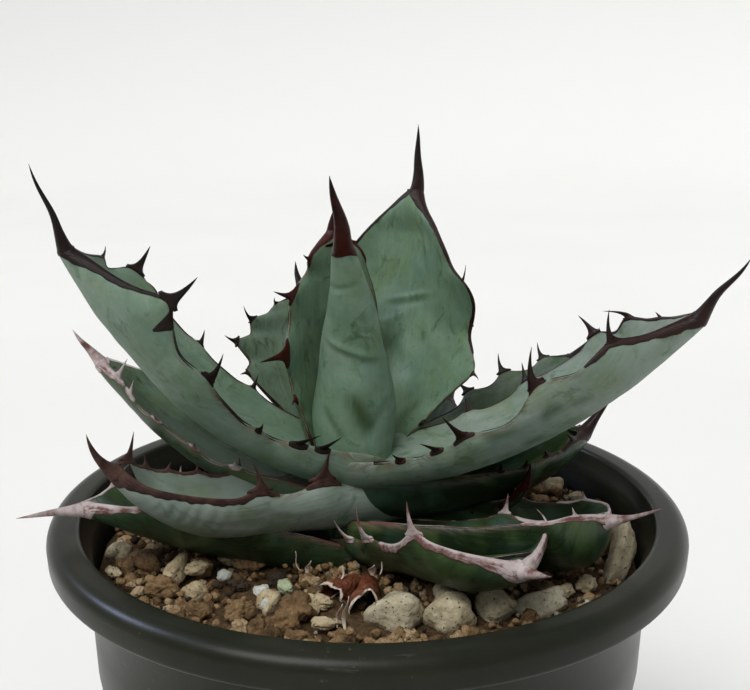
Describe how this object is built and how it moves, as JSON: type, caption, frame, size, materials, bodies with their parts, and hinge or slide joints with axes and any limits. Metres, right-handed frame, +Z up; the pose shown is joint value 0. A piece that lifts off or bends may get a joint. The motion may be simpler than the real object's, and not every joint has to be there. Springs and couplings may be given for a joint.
{
  "type": "potted hybrid agave",
  "caption": "Spiny rosette succulent with cupped, toothed leaves, growing in gritty soil in a round dark plastic nursery pot with a rolled rim and drain holes.",
  "frame": {"origin": "centre of the pot's underside, on the surface it stands on", "axes": "+Z up along the pot's axis; -Y toward the side the picture shows; +X to the right in the picture"},
  "size_m": [0.1817, 0.18, 0.2444],
  "materials": {
    "pot": "dark olive-grey moulded plastic, soft sheen",
    "soil": "crumbly brown fired-clay granules",
    "stem": "pale green, waxy",
    "leaf": "fleshy skin with a blue-grey waxy bloom",
    "border": "horny, dark brown, half gloss",
    "old_leaf": "fleshy dark green skin, little bloom",
    "old_border": "horny, weathered to mauve grey",
    "withered_leaf": "dried red-brown skin with papery edges",
    "pumice": "matt, porous, grey beige"
  },
  "bodies": {
    "root": {"pot": "pot", "soil": "soil", "stem_and_heart": "stem", "leaf_01_front_blade": "leaf", "leaf_01_front_border": "border", "leaf_02_back_blade": "leaf", "leaf_02_back_border": "border", "leaf_03_right_back_blade": "leaf", "leaf_03_right_back_border": "border", "leaf_04_back_left_blade": "leaf", "leaf_04_back_left_border": "border", "leaf_05_left_tall_blade": "leaf", "leaf_05_left_tall_border": "border", "leaf_06_right_tall_blade": "leaf", "leaf_06_right_tall_border": "border", "leaf_07_right_back_low_blade": "leaf", "leaf_07_right_back_low_border": "border", "leaf_08_left_low_blade": "leaf", "leaf_08_left_low_border": "border", "leaf_09_right_low_blade": "leaf", "leaf_09_right_low_border": "border", "leaf_10_left_front_blade": "leaf", "leaf_10_left_front_border": "border", "leaf_11_front_right_blade": "old_leaf", "leaf_11_front_right_border": "old_border", "leaf_12_left_lowest_blade": "old_leaf", "leaf_12_left_lowest_border": "old_border", "leaf_13_right_front_blade": "old_leaf", "leaf_13_right_front_border": "old_border", "leaf_14_right_lowest_blade": "old_leaf", "leaf_14_right_lowest_border": "old_border", "leaf_15_back_right_low_blade": "old_leaf", "leaf_15_back_right_low_border": "old_border", "leaf_16_back_low_blade": "leaf", "leaf_16_back_low_border": "border", "leaf_17_back_left_low_blade": "old_leaf", "leaf_17_back_left_low_border": "old_border", "withered_leaf_front": "withered_leaf", "withered_leaf_left": "withered_leaf", "pumice_01": "pumice", "pumice_02": "pumice", "pumice_03": "pumice", "pumice_04": "pumice", "pumice_05": "pumice", "pumice_06": "pumice", "pumice_07": "pumice", "pumice_08": "pumice", "pumice_09": "pumice", "pumice_10": "pumice", "pumice_11": "pumice", "pumice_12": "pumice"}
  },
  "joints": []
}
